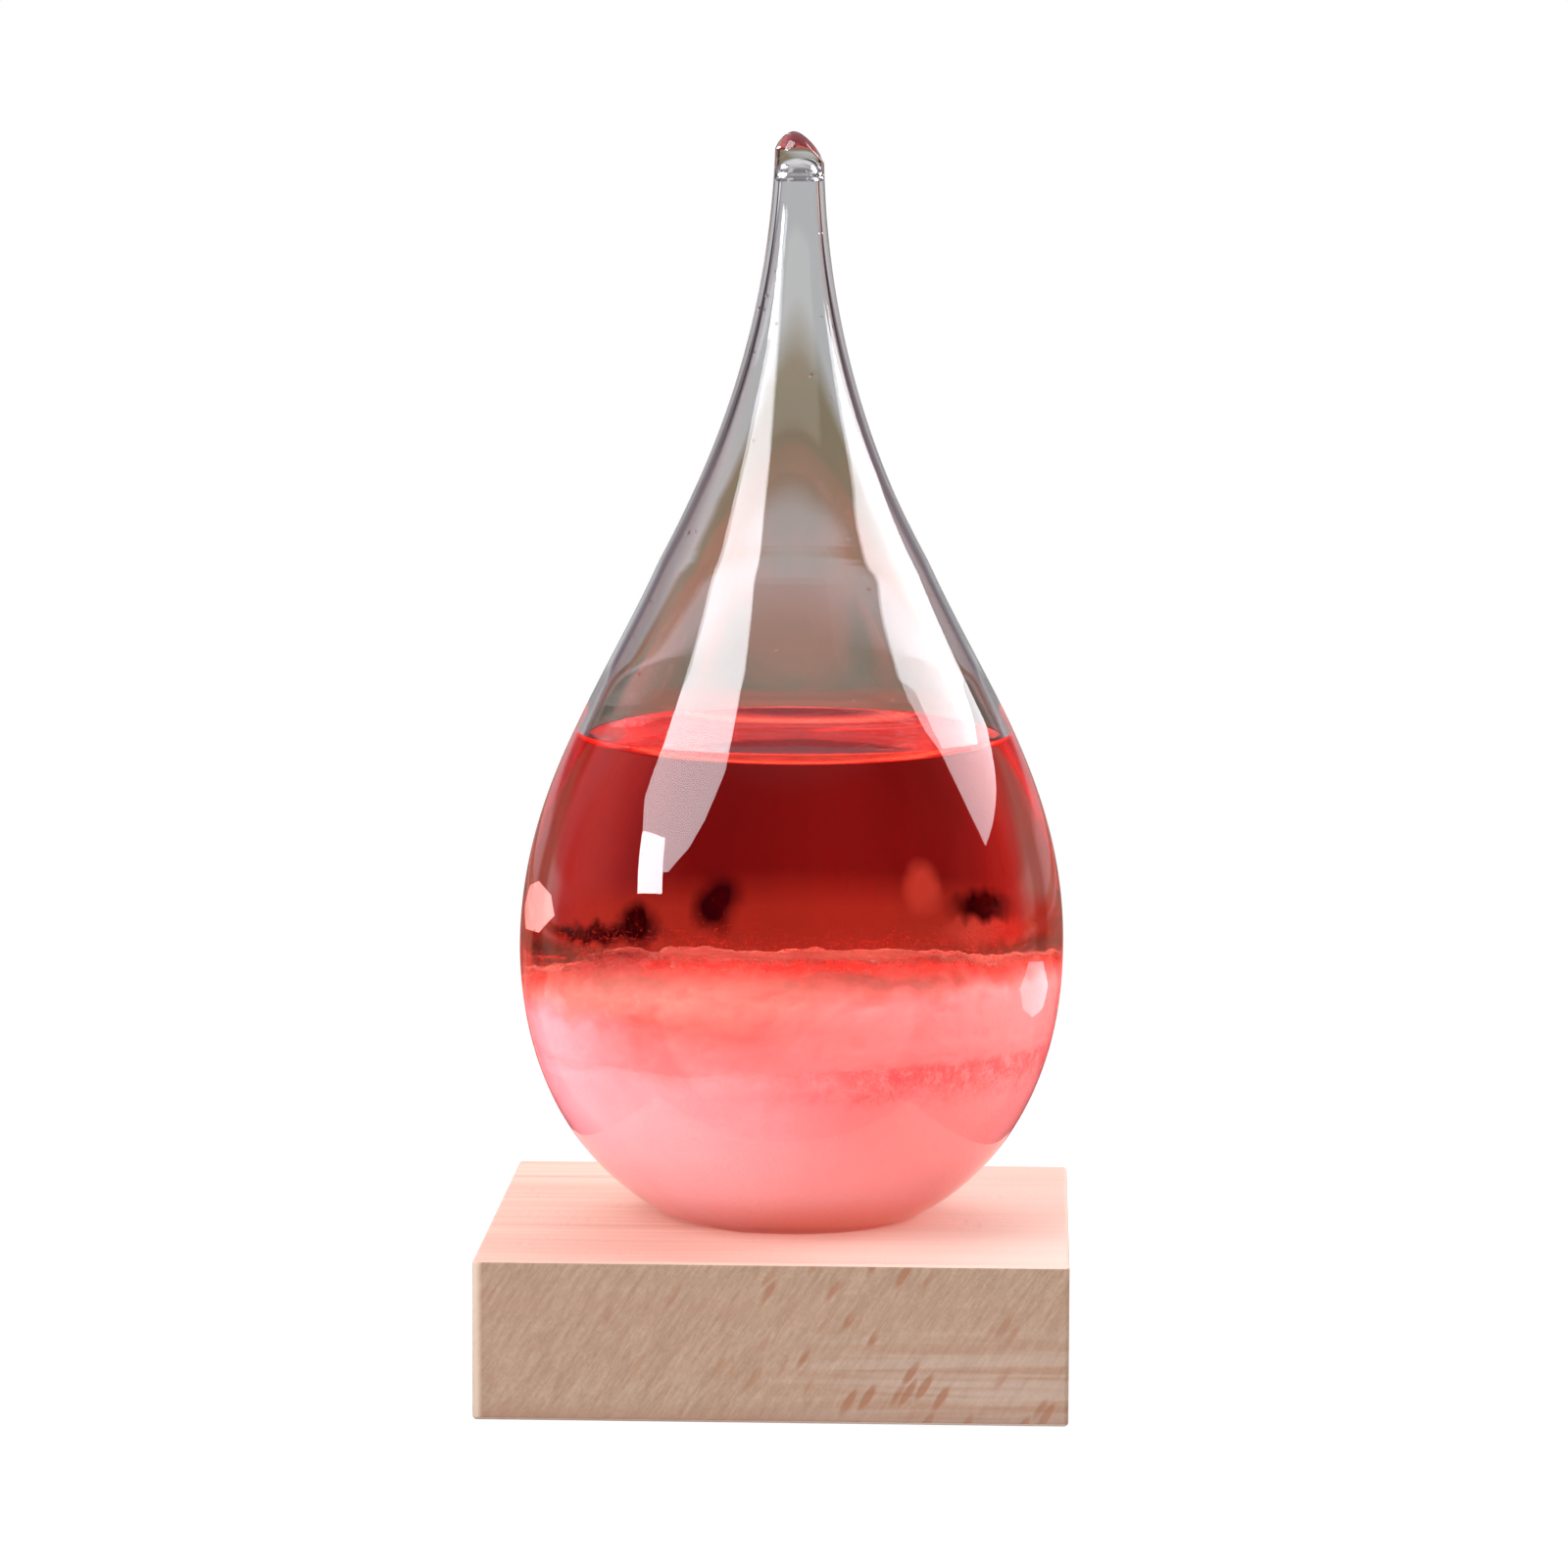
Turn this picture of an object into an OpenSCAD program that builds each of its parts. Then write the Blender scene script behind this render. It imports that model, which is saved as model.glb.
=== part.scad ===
// Teardrop storm glass on a square wooden block.
// Millimetres, +Z up, front towards -Y, origin at the centre of the block's underside.

/* [Wooden base] */
// Side of the square block
base_side = 63.5; // [56:0.5:90]
// Thickness of the block
base_height = 17.3; // [10:0.1:30]
// Bevel that eases the block's edges
edge_ease = 0.4; // [0.2:0.1:1.5]
// Depth of the round seat turned in the top
seat_depth = 0.5; // [0.3:0.1:1]
// How far the seat lies off the block's centre, towards +X
seat_side = 0.9; // [-2:0.1:2]

/* [Glass vessel] */
// Height of the drop from its foot to its tip
drop_height = 120; // [116:1:130]
// Radius of the bulb at its widest
bulb_r = 30; // [28:0.5:32]
// Radius of the flat foot that the drop stands on
foot_r = 12; // [9:0.5:13]
// Outer radius of the drawn neck at the tip
neck_r = 2.65; // [2.4:0.05:2.7]
// Thickness of the floor of the bulb
floor_wall = 2.4; // [1.6:0.1:3.2]
// Wall thickness of the bulb
bulb_wall = 1.8; // [1.2:0.1:2.4]
// Wall thickness of the glass over the bulb
neck_wall = 0.85; // [0.5:0.05:1]

/* [Filling] */
// Level of the solution above the foot
liquid_level = 51.5; // [46:0.1:60]
// Height that the solution climbs at the glass
meniscus_rise = 2.3; // [0.6:0.1:2.8]
// Level of the settled crystals above the foot
bed_level = 22.4; // [16:0.1:28]
// Slope of the settled crystals, higher towards +X, in degrees
bed_tilt = 2; // [0:0.5:4]
// Height of the loose crystals over the settled ones
drift_height = 10; // [8:0.5:13]

/* [Hidden] */
$fn = 96;

// Outline of the drop, from the foot's edge to the tip, as three cubic Bezier curves that run
// into each other at the widest level and at the shoulder. Levels are above the foot.
bulb_level = 30.5;
shoulder_level = 72.4;
shoulder_r = bulb_r / 2;
shoulder_way = [-0.418, 0.909];
bulb_curve = [
    [foot_r, 0],
    [foot_r + 5.5, 1.4],
    [bulb_r, bulb_level - 20.5],
    [bulb_r, bulb_level]
];
shoulder_curve = [
    [bulb_r, bulb_level],
    [bulb_r, bulb_level + 17],
    [shoulder_r, shoulder_level] - 15 * shoulder_way,
    [shoulder_r, shoulder_level]
];
neck_curve = [
    [shoulder_r, shoulder_level],
    [shoulder_r, shoulder_level] + 4 * shoulder_way,
    [neck_r, drop_height - 27],
    [neck_r, drop_height]
];
curve_steps = 14;

// The flame-sealed end: a round dome, cut back towards +X by a larger off-centre ball.
dome_r = neck_r + 0.1;
slant_r = 6.4;
slant_side = 3.4;
slant_drop = 5.8;
slant_level = drop_height - 3.9;
seal_thickness = 3;

// The inside of the vessel
bore_r = neck_r - neck_wall;
bore_top = drop_height - seal_thickness;
bore_dome_level = bore_top - bore_r;

// The seat follows the foot with a little room round it.
foot_level = base_height - seat_depth;
seat_floor_r = foot_r + 0.6;
seat_rim_r = foot_r + 2.4;

// The solution's surface rises to the wall like exp(-distance / meniscus_length).
contact_level = liquid_level + meniscus_rise;
meniscus_length = 1.5;
meniscus_reach = 5;

// The loose crystals are a low mound over the whole bed, with billows in a ring on it.
mound_height = 0.7 * drift_height;
mound_r = 80;
billows = 5;
billow_r = 16;
billow_ring_r = 14;

reach = 2 * bulb_r;
hair = 0.01;

function bezier(c, t) =
    pow(1 - t, 3) * c[0] + 3 * pow(1 - t, 2) * t * c[1]
    + 3 * (1 - t) * t * t * c[2] + pow(t, 3) * c[3];

function bezier_way(c, t) =
    let (d = pow(1 - t, 2) * (c[1] - c[0]) + 2 * (1 - t) * t * (c[2] - c[1]) + t * t * (c[3] - c[2]))
    d / norm(d);

// Thickness of the glass at a level above the foot
function wall_at(level) = lookup(level, [
    [0, floor_wall],
    [bulb_level, bulb_wall],
    [2 * bulb_level, neck_wall]
]);

function inset(p, way, depth) = p + depth * [-way.y, way.x];

outer_points = [
    for (c = [bulb_curve, shoulder_curve, neck_curve], i = [0 : curve_steps - 1])
        bezier(c, i / curve_steps),
    neck_curve[3]
];
inner_points = [
    for (c = [bulb_curve, shoulder_curve, neck_curve], i = [0 : curve_steps - 1])
        let (p = bezier(c, i / curve_steps))
        inset(p, bezier_way(c, i / curve_steps), wall_at(p.y))
];
bore_points = [
    for (p = inner_points) if (p.y < bore_dome_level) p,
    for (a = [0 : 15 : 90]) [bore_r * cos(a), bore_dome_level + bore_r * sin(a)]
];
bore_points_at_contact = [for (p = bore_points) if (p.y > contact_level) p];
contact_r = bore_points_at_contact[0].x;

// Everything below a level, wide enough to cut any piece
module below(level) {
    translate([0, 0, -reach]) cylinder(r = reach, h = level + reach);
}

module drop_outside() {
    rotate_extrude() polygon([[0, 0], each outer_points, [0, drop_height]]);
}

module drop_inside() {
    rotate_extrude() polygon([[0, bore_points[0].y], each bore_points]);
}

module seal_dome() {
    translate([0, 0, drop_height - dome_r]) sphere(dome_r);
    below(drop_height - dome_r);
}

module seal_slant() {
    translate([-slant_side, 0, drop_height - slant_drop]) sphere(slant_r);
    below(slant_level);
}

// The hollow that the meniscus leaves above the solution
module meniscus_hollow() {
    rotate_extrude() polygon([
        [0, liquid_level],
        for (i = [meniscus_reach : -0.5 : 0])
            [contact_r - i, liquid_level + meniscus_rise * exp(-i / meniscus_length)],
        [reach, contact_level],
        [reach, drop_height],
        [0, drop_height]
    ]);
}

module bed_space() {
    translate([0, 0, bed_level]) rotate([0, -bed_tilt, 0]) below(0);
}

module drift_space() {
    bed_space();
    translate([0, 0, bed_level + mound_height - mound_r]) sphere(mound_r);
    for (i = [0 : billows - 1])
        rotate(i * 360 / billows)
            translate([billow_ring_r, 0, bed_level + drift_height - billow_r]) sphere(billow_r);
}

module wood_base() {
    color("burlywood") difference() {
        intersection() {
            bevelled_block();
            rotate([90, 0, 0]) translate([0, 0, -base_side / 2]) bevelled_slab();
            rotate([90, 0, 90]) translate([0, 0, -base_side / 2]) bevelled_slab();
        }
        translate([seat_side, 0, foot_level])
            cylinder(r1 = seat_floor_r, r2 = seat_rim_r, h = seat_depth + hair);
    }
}

// The block's outline from above, with its upright edges eased
module bevelled_block() {
    linear_extrude(base_height) eased_rectangle(base_side, base_side);
}

// The block's outline from one side, with its level edges eased
module bevelled_slab() {
    linear_extrude(base_side)
        translate([0, base_height / 2]) eased_rectangle(base_side, base_height);
}

module eased_rectangle(width, height) {
    x = width / 2;
    y = height / 2;
    e = edge_ease;
    polygon([
        [x - e, -y], [x, e - y], [x, y - e], [x - e, y],
        [e - x, y], [-x, y - e], [-x, e - y], [e - x, -y]
    ]);
}

module glass_vessel() {
    color("lightcyan", 0.35) translate([seat_side, 0, foot_level]) difference() {
        intersection() {
            drop_outside();
            seal_dome();
            seal_slant();
        }
        drop_inside();
    }
}

module solution() {
    color("crimson", 0.8) translate([seat_side, 0, foot_level]) difference() {
        intersection() {
            drop_inside();
            below(contact_level);
        }
        meniscus_hollow();
        drift_space();
    }
}

module settled_crystals() {
    color("lightpink") translate([seat_side, 0, foot_level]) intersection() {
        drop_inside();
        bed_space();
    }
}

module loose_crystals() {
    color("lightcoral") translate([seat_side, 0, foot_level]) difference() {
        intersection() {
            drop_inside();
            drift_space();
        }
        bed_space();
    }
}

wood_base();
glass_vessel();
solution();
settled_crystals();
loose_crystals();
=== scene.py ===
"""Looks of the teardrop storm glass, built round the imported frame. Metres, +Z up, front to -Y."""

import math

import bmesh
import bpy
import numpy as np
from mathutils import Euler, Matrix, Vector, noise


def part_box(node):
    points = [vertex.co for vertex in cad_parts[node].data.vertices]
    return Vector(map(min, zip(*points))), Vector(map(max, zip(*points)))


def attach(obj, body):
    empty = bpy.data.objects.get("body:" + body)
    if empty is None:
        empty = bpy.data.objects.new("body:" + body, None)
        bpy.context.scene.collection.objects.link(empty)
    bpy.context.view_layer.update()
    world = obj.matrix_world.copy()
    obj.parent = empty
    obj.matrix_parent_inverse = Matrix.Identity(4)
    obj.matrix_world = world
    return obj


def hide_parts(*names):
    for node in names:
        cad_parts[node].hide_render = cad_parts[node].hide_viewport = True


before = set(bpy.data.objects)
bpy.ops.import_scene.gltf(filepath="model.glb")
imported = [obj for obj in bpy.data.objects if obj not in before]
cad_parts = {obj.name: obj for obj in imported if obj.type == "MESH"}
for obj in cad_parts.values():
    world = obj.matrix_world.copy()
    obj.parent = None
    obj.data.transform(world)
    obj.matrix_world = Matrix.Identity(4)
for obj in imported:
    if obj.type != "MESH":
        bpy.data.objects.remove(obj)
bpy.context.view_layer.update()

MM = 0.001
rng = np.random.default_rng(11)

# ---------------------------------------------------------------- sizes

BASE_LOW, BASE_HIGH = (np.array(corner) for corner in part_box("wood_base"))
GLASS_LOW, GLASS_HIGH = (np.array(corner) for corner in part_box("glass_vessel"))
BED_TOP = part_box("settled_crystals")[1][2]
DRIFT_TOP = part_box("loose_crystals")[1][2]
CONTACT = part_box("solution")[1][2]

FOOT = GLASS_LOW[2]  # level that the drop stands on
AXIS_X = (GLASS_LOW[0] + GLASS_HIGH[0]) / 2
BULB_R = (GLASS_HIGH[0] - GLASS_LOW[0]) / 2
HEIGHT = GLASS_HIGH[2] - FOOT
CONTACT_LEVEL = CONTACT - FOOT  # where the solution's edge meets the glass, above the foot

# Sizes that the frame does not give; levels are above the foot
FOOT_R = 12 * MM
SEAT_FLOOR_R = FOOT_R + 0.6 * MM
SEAT_RIM_R = FOOT_R + 2.4 * MM
NECK_R = 2.65 * MM
NECK_TOP = HEIGHT - 9 * MM  # from here up the seal shapes the outside
BULB_LEVEL = 30.5 * MM
LIQUID_LEVEL = 51.5 * MM
MENISCUS_LENGTH = 1.9 * MM
FLOOR_WALL = 2.4 * MM
BULB_WALL = 1.8 * MM
NECK_WALL = 0.85 * MM
SEAL_THICKNESS = 3 * MM
EDGE_EASE = 0.45 * MM

# The flame-sealed end: a round dome, cut back towards +X by a larger ball
DOME_R = NECK_R + 0.1 * MM
SLANT_R = 6.4 * MM
SLANT_SIDE = 3.4 * MM
SLANT_DROP = 5.73 * MM

# Blown glass is a little out of round outside, and varies a little in thickness
OUT_OF_ROUND = 0.0015
INNER_SEED = 5.0
INNER_DEPTH = 0.02 * MM

# Indices of refraction
GLASS_IOR = 1.47
LIQUID_IOR = 1.36

TURNS = 160  # segments round the drop


# ---------------------------------------------------------------- the drop's shape


def bezier(points, t):
    """A point on a cubic Bezier curve for each t."""
    a, b, c, d = (np.array(p) for p in points)
    t = np.asarray(t)[:, None]
    return (1 - t) ** 3 * a + 3 * (1 - t) ** 2 * t * b + 3 * (1 - t) * t**2 * c + t**3 * d


def lengths_along(outline):
    """Length along the outline at each of its points."""
    steps = np.linalg.norm(np.diff(outline, axis=0), axis=1)
    return np.concatenate([[0], np.cumsum(steps)])


def drop_outline(step=0.8 * MM):
    """Radius and level of the outside, from the foot's edge to the tip, in metres above the foot."""
    foot, bulb, neck = FOOT_R / MM, BULB_R / MM, NECK_R / MM
    widest, tip = BULB_LEVEL / MM, HEIGHT / MM
    shoulder = np.array([15.0, 72.4])
    way = np.array([-0.418, 0.909])
    curves = [
        [[foot, 0], [foot + 5.5, 1.4], [bulb, widest - 20.5], [bulb, widest]],
        [[bulb, widest], [bulb, widest + 17], shoulder - 15 * way, shoulder],
        [shoulder, shoulder + 4 * way, [neck, tip - 27], [neck, tip]],
    ]
    t = np.linspace(0, 1, 400, endpoint=False)
    fine = np.vstack([bezier(c, t) for c in curves] + [[[neck, tip]]]) * MM
    along = lengths_along(fine)
    even = np.linspace(0, along[-1], round(along[-1] / step))
    return np.column_stack([np.interp(even, along, fine[:, k]) for k in range(2)])


def wall_at(level):
    """Thickness of the glass at a level above the foot."""
    return np.interp(level, [0, BULB_LEVEL, 2 * BULB_LEVEL], [FLOOR_WALL, BULB_WALL, NECK_WALL])


def inset(outline, depth):
    """The outline moved in by depth, square to itself."""
    way = np.gradient(outline, lengths_along(outline), axis=0)
    way /= np.linalg.norm(way, axis=1)[:, None]
    return outline + np.column_stack([-way[:, 1], way[:, 0]]) * np.asarray(depth)[:, None]


OUTSIDE = drop_outline()
INSIDE = inset(OUTSIDE, wall_at(OUTSIDE[:, 1]))
BORE_R = NECK_R - NECK_WALL
BORE_DOME = HEIGHT - SEAL_THICKNESS - BORE_R
INSIDE = INSIDE[INSIDE[:, 1] < BORE_DOME]
FLOOR_R, FLOOR = INSIDE[0]  # radius and level of the flat floor inside


def inside_radius(level):
    """Inner radius at a level above the foot."""
    return np.interp(level, INSIDE[:, 1], INSIDE[:, 0])


def turns(count):
    """Angles that are spread evenly over a full turn."""
    return [2 * math.pi * k / count for k in range(count)]


def axis_at(level):
    """Where the axis passes a level above the foot, as the hand-drawn glass leans to +X."""
    levels = np.array([0, 12, 30, 55, 80, 100, 120]) * MM
    leans = np.array([0.25, 0.1, 0, 0.2, 0.0, 0.25, 0.5]) * MM
    return AXIS_X + float(np.interp(level, levels, leans))


def round_axis(r, angle, level):
    """The point at a distance from the leaning axis, at an angle and a level above the foot."""
    return (axis_at(level) + r * math.cos(angle), r * math.sin(angle), FOOT + level)


def wobble(angle, level, seed):
    """Slight out-of-round of blown glass."""
    spot = Vector((math.cos(angle) * 1.3, math.sin(angle) * 1.3, level / (26 * MM) + seed))
    return noise.noise(spot)


def ring_points(radius, level, seed=0.0, depth=0.0):
    """One ring round the drop's axis, with the glass's lean and out-of-round."""
    points = []
    for a in turns(TURNS):
        r = radius * (1 + OUT_OF_ROUND * wobble(a, level, 0)) + depth * wobble(a, level, seed)
        points.append(round_axis(r, a, level))
    return points


def piece_of(mesh):
    """A mesh as an object of the same name in the scene."""
    piece = bpy.data.objects.new(mesh.name, mesh)
    bpy.context.scene.collection.objects.link(piece)
    return piece


def mesh_piece(name, bm):
    """A bmesh as an object in the scene; the bmesh is freed."""
    mesh = bpy.data.meshes.new(name)
    bm.to_mesh(mesh)
    bm.free()
    return piece_of(mesh)


class Skin:
    """Collects rings of points into one mesh."""

    def __init__(self):
        self.verts = []
        self.faces = []
        self.slots = []

    def ring(self, points):
        start = len(self.verts)
        self.verts.extend(points)
        return range(start, len(self.verts))

    def bridge(self, low, high, slot=0, flip=False):
        """Faces between two rings, or between a ring and a single point."""
        n = max(len(low), len(high))
        for k in range(n):
            j = (k + 1) % n
            if len(low) == 1:
                face = (low[0], high[j], high[k])
            elif len(high) == 1:
                face = (low[k], low[j], high[0])
            else:
                face = (low[k], low[j], high[j], high[k])
            self.faces.append(face[::-1] if flip else face)
            self.slots.append(slot)

    def stack(self, rings, slot=0, flip=False):
        for low, high in zip(rings, rings[1:]):
            self.bridge(low, high, slot, flip)

    def build(self, name):
        mesh = bpy.data.meshes.new(name)
        mesh.from_pydata([tuple(v) for v in self.verts], [], self.faces)
        mesh.polygons.foreach_set("material_index", self.slots)
        mesh.polygons.foreach_set("use_smooth", [True] * len(self.faces))
        mesh.update()
        return piece_of(mesh)


def inner_ring(skin, radius, level, inset_by=0.0):
    """A ring on the inside of the glass, whose thickness varies a little."""
    if radius < 0.05 * MM:
        return skin.ring([(axis_at(level), 0, FOOT + level)])
    return skin.ring(ring_points(radius - inset_by, level, INNER_SEED, INNER_DEPTH))


def seal_height(x, y):
    """Level of the flame-sealed end over a point, measured from the neck's own axis."""
    dome = HEIGHT - DOME_R + math.sqrt(max(DOME_R**2 - x**2 - y**2, 0))
    slant = HEIGHT - SLANT_DROP + math.sqrt(max(SLANT_R**2 - (x + SLANT_SIDE) ** 2 - y**2, 0))
    blend = 0.5 * MM
    h = max(blend - abs(dome - slant), 0) / blend
    return min(dome, slant) - h * h * blend / 4


def seal_rings(skin):
    """The outside above the neck, up to the rim of the seal and in to its middle."""
    rings = []
    neck_x = axis_at(NECK_TOP)
    for t in np.linspace(0, 1, 24)[1:]:
        points = []
        for x, y, _ in ring_points(NECK_R, NECK_TOP):
            edge = seal_height(x - neck_x, y)
            level = NECK_TOP + t * (edge - NECK_TOP)
            scale = np.interp(level, OUTSIDE[:, 1], OUTSIDE[:, 0]) / NECK_R
            points.append(((x - neck_x) * scale + axis_at(level), y * scale, FOOT + level))
        rings.append(skin.ring(points))
    tip_x = axis_at(HEIGHT)
    rim = [(x - tip_x, y) for x, y, _ in points]
    for t in np.linspace(1, 0, 16)[1:-1]:
        points = [(tip_x + x * t, y * t, FOOT + seal_height(x * t, y * t)) for x, y in rim]
        rings.append(skin.ring(points))
    rings.append(skin.ring([(tip_x, 0, FOOT + seal_height(0, 0))]))
    return rings


def wet_profile(floor):
    """Radius and level of rings across a floor and up the glass, to the solution's edge."""
    across = [(FLOOR_R * k / 4, floor) for k in range(4)]
    up = [(r, z) for r, z in INSIDE if floor <= z < CONTACT_LEVEL]
    return across + up + [(inside_radius(CONTACT_LEVEL), CONTACT_LEVEL)]


def build_glass():
    """The vessel: outside, wet inside wall and dry inside wall, as one closed skin."""
    dry_slot, wet_slot = 0, 1
    skin = Skin()
    outside = [skin.ring([(axis_at(0), 0, FOOT)])]
    outside += [skin.ring(ring_points(FOOT_R * k / 4, 0)) for k in range(1, 4)]
    outside += [skin.ring(ring_points(r, z)) for r, z in OUTSIDE if z < NECK_TOP]
    outside += seal_rings(skin)
    skin.stack(outside, dry_slot)

    dry = [(r, z) for r, z in INSIDE if z > CONTACT_LEVEL]
    for a in np.linspace(0, math.pi / 2, 10):
        dry.append((BORE_R * math.cos(a), BORE_DOME + BORE_R * math.sin(a)))
    wet_rings = [inner_ring(skin, r, z) for r, z in wet_profile(FLOOR)]
    dry_rings = [inner_ring(skin, r, z) for r, z in dry]
    skin.stack(wet_rings, wet_slot, flip=True)
    skin.stack([wet_rings[-1]] + dry_rings, dry_slot, flip=True)
    return skin.build("blown_glass")


def build_solution():
    """The liquid: it fills the vessel below the meniscus, crystals and all."""
    gap = 0.02 * MM
    rise = CONTACT_LEVEL - LIQUID_LEVEL
    rim_r = inside_radius(CONTACT_LEVEL)
    reaches = np.concatenate([np.linspace(0, 7, 60)[1:], [9, 13, 17, rim_r / MM]]) * MM
    top = [(rim_r - s, CONTACT_LEVEL - rise * (1 - math.exp(-s / MENISCUS_LENGTH))) for s in reaches]
    skin = Skin()
    side_rings = [inner_ring(skin, r, z, gap) for r, z in wet_profile(FLOOR + gap)]
    top_rings = [inner_ring(skin, r, z, gap) for r, z in top]
    skin.stack(side_rings)
    sides = len(skin.faces)
    skin.stack([side_rings[-1]] + top_rings)
    piece = skin.build("red_solution")
    mask = piece.data.attributes.new("free_surface", "FLOAT", "FACE")
    mask.data.foreach_set("value", [0.0] * sides + [1.0] * (len(skin.faces) - sides))
    return piece


def build_dew(count):
    """Small drops that have settled on the dry inside of the glass."""
    bm = bmesh.new()
    for _ in range(count):
        level = rng.uniform(CONTACT_LEVEL + 4 * MM, HEIGHT - 10 * MM)
        angle = rng.uniform(0, 2 * math.pi)
        size = rng.uniform(0.12, 0.26) * MM
        centre = Matrix.Translation(round_axis(inside_radius(level), angle, level))
        bmesh.ops.create_icosphere(bm, subdivisions=3, radius=size, matrix=centre)
    dew = mesh_piece("dew", bm)
    dew.data.shade_smooth()
    return dew


# ---------------------------------------------------------------- crystals

BED_TILT = math.radians(2)
BED_MIDDLE = BED_TOP - FOOT - 1.6 * MM  # level of the bed over the middle, above the foot
DRIFT_MIDDLE = BED_TOP - FOOT + 9.3 * MM
CRYSTAL_GAP = 0.25 * MM  # between the crystals and the glass
CRYSTAL_SIDE_R = 27 * MM
OVERLAP = 3.2 * MM  # the loose crystals reach this far down over the rim of the bed
SKIRT = 0.2 * MM  # how far each draws in where the other covers it
CLOUD_TURNS = 300
CENTRE = [(0, 0)]


def fractal(x, y, z, size, octaves):
    return noise.fractal(Vector((x / size, y / size, z / size)), 0.9, 2.0, octaves)


def side_noise(angle, level, size, octaves):
    """Noise over the side of the crystals."""
    x, y = CRYSTAL_SIDE_R * math.cos(angle), CRYSTAL_SIDE_R * math.sin(angle)
    return fractal(x, y, level, size, octaves)


def bed_level(x, y):
    """Level of the settled crystals above the foot, at a point from the drop's axis."""
    return BED_MIDDLE + math.tan(BED_TILT) * x + 0.9 * MM * fractal(x, y, 0, 9 * MM, 3)


def cloud_floor(x, y):
    """Level of the underside of the loose crystals, which is hidden in the bed."""
    return bed_level(x, y) - OVERLAP


def drift_level(x, y):
    """Level of the top of the loose crystals above the foot: lower to the left and to the back."""
    puffs = 1.5 * MM * fractal(x, y, 31 * MM, 11 * MM, 3)
    tufts = 0.65 * MM * fractal(x, y, 7 * MM, 2.6 * MM, 4)
    left = 0.12 * max(0, -8 * MM - x)
    back = 0.16 * (y + 22 * MM)
    top = DRIFT_MIDDLE - left - back + puffs + tufts
    return min(max(top, bed_level(x, y) + 1.2 * MM), DRIFT_TOP - FOOT - 0.3 * MM)


def spread(rim, t, level_at):
    """A rim drawn in to t of its size, at the levels that level_at gives."""
    return [(AXIS_X + x * t, y * t, FOOT + level_at(x * t, y * t)) for x, y in rim]


def build_bed():
    """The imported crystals, with a lumpy top and a side that follows the glass."""
    skin = Skin()
    floor = FLOOR + CRYSTAL_GAP
    rings = [skin.ring([(AXIS_X, 0, FOOT + floor)])]
    rings += [inner_ring(skin, FLOOR_R * k / 4, floor) for k in range(1, 4)]
    top_r = inside_radius(BED_TOP - FOOT) - CRYSTAL_GAP
    edges = [bed_level(top_r * math.cos(a), top_r * math.sin(a)) for a in turns(TURNS)]
    for t in [*np.linspace(0, 0.98, 60), 0.995, 1]:
        points = []
        for a, edge in zip(turns(TURNS), edges):
            level = floor + t**1.3 * (edge - floor)
            rim_gap = SKIRT * max(0, 1 - (edge - level) / OVERLAP)
            rough = 0.07 * MM * side_noise(a, level, 1.6 * MM, 3)
            r = inside_radius(level) - CRYSTAL_GAP - rim_gap - max(rough, 0)
            points.append(round_axis(r, a, level))
        rings.append(skin.ring(points))
    rim = [(x - AXIS_X, y) for x, y, _ in points]
    rings += [skin.ring(spread(rim, t, bed_level)) for t in [0.997, *np.linspace(0.98, 0.02, 50)]]
    rings.append(skin.ring(spread(CENTRE, 1, bed_level)))
    skin.stack(rings)
    return skin.build("crystal_bed")


def build_cloud():
    """The thick part of the loose crystals: a billowing top, whose rim thins out into the solution."""
    skin = Skin()
    top_r = inside_radius(BED_TOP - FOOT + 3 * MM) - 1 * MM
    angles = turns(CLOUD_TURNS)
    rim = [(top_r * math.cos(a), top_r * math.sin(a)) for a in angles]
    spans = [(cloud_floor(x, y), drift_level(x, y)) for x, y in rim]
    under = [skin.ring(spread(CENTRE, 1, cloud_floor))]
    under += [skin.ring(spread(rim, t, cloud_floor)) for t in np.linspace(0, 1, 20)[1:-1]]
    thin = [0.0] * len(skin.verts)
    side = []
    for t in np.linspace(0, 1, 50):
        points = []
        for a, (low, high) in zip(angles, spans):
            level = low + t * (high - low)
            tuck = SKIRT * max(0, 1 - (level - low) / OVERLAP)
            rough = 0.1 * MM * side_noise(a, level, 1.3 * MM, 4)
            lump = side_noise(a, level, 2.0 * MM, 4)
            r = inside_radius(level) - CRYSTAL_GAP - tuck - max(rough, 0)
            r -= 0.5 * MM * max(lump, 0) * t + 2 * MM * t**6
            points.append(round_axis(r, a, level))
        side.append(skin.ring(points))
        thin.extend([max(0, (t - 0.75) / 0.25)] * CLOUD_TURNS)
    rim = [(x - AXIS_X, y) for x, y, _ in points]
    top = []
    for t in np.linspace(1, 0, 120)[1:-1]:
        top.append(skin.ring(spread(rim, t, drift_level)))
        thin.extend([0.1 + 0.9 * t**8] * CLOUD_TURNS)
    top.append(skin.ring(spread(CENTRE, 1, drift_level)))
    thin.append(0.1)
    skin.stack(under + side + top)
    cloud = skin.build("crystal_cloud")
    thinness = cloud.data.attributes.new("thinness", "FLOAT", "POINT")
    thinness.data.foreach_set("value", thin)
    return cloud


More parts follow.
